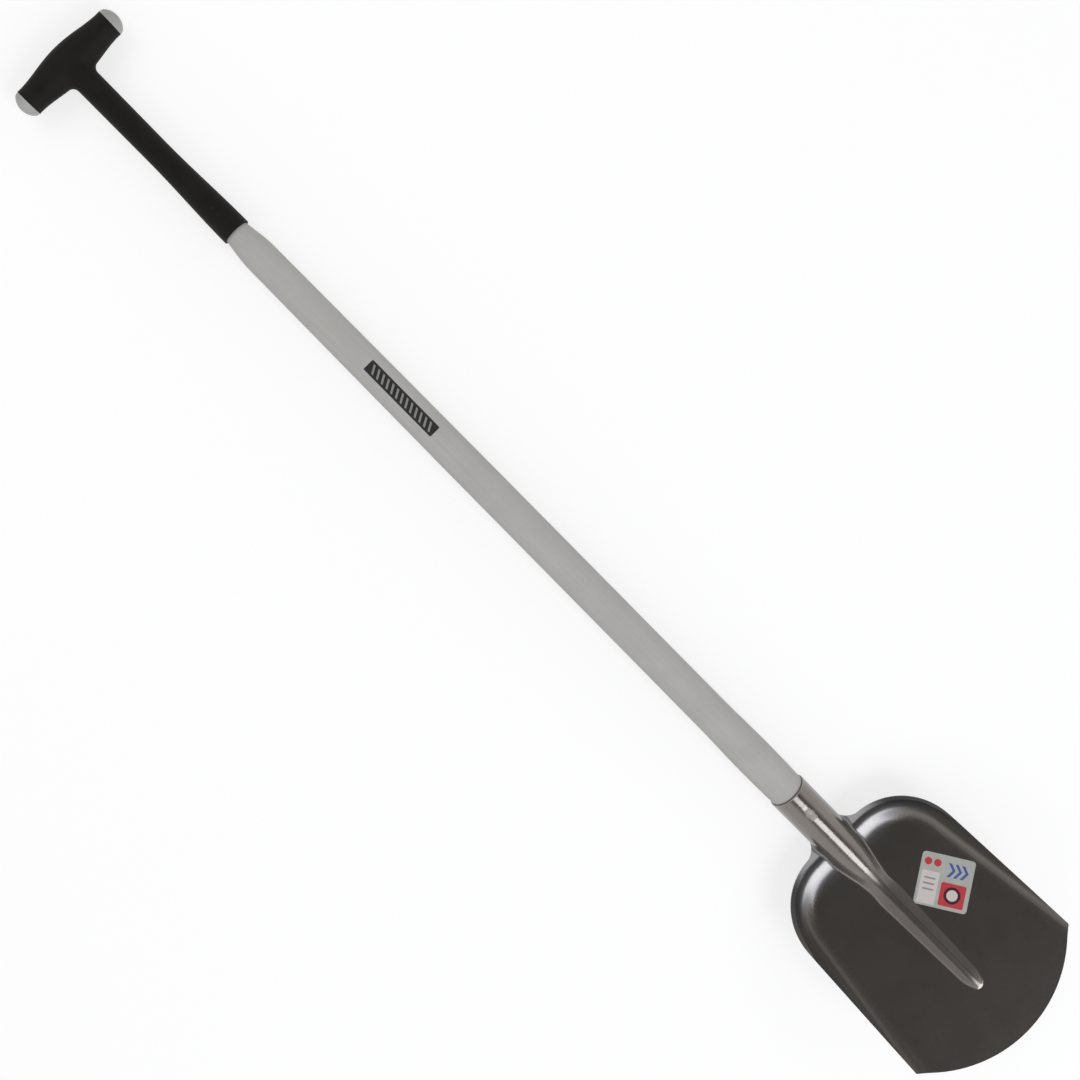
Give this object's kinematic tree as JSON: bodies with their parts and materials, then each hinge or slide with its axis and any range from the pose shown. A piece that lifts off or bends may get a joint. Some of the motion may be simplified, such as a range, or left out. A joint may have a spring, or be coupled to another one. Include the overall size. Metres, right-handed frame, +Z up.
{
  "type": "t-handled shovel",
  "caption": "Long-handled shovel with a round-shouldered pressed blade, a ridge running on from its rolled socket, a tapered shaft and a moulded T-grip.",
  "frame": {"origin": "on the floor under the middle of the tool, which lies on its back", "axes": "+X from the grip to the tip of the blade, +Z up, out of the front of the blade"},
  "size_m": [1.3536, 0.2264, 0.0962],
  "materials": {
    "lacquered_steel": "dark brown-grey pressed steel under a glossy clear lacquer",
    "coated_ash": "ash under a matt grey coat",
    "black_plastic": "black, fine satin",
    "grey_plastic": "mid grey, satin",
    "bright_steel": "plain steel, darkened with the blade",
    "label_film": "printed silver-grey film"
  },
  "bodies": {
    "root": {"blade": "lacquered_steel", "shaft": "coated_ash", "grip": "black_plastic", "left_cap": "grey_plastic", "right_cap": "grey_plastic", "socket_nail": "bright_steel", "grip_pin": "bright_steel", "blade_label": "label_film"}
  },
  "joints": []
}
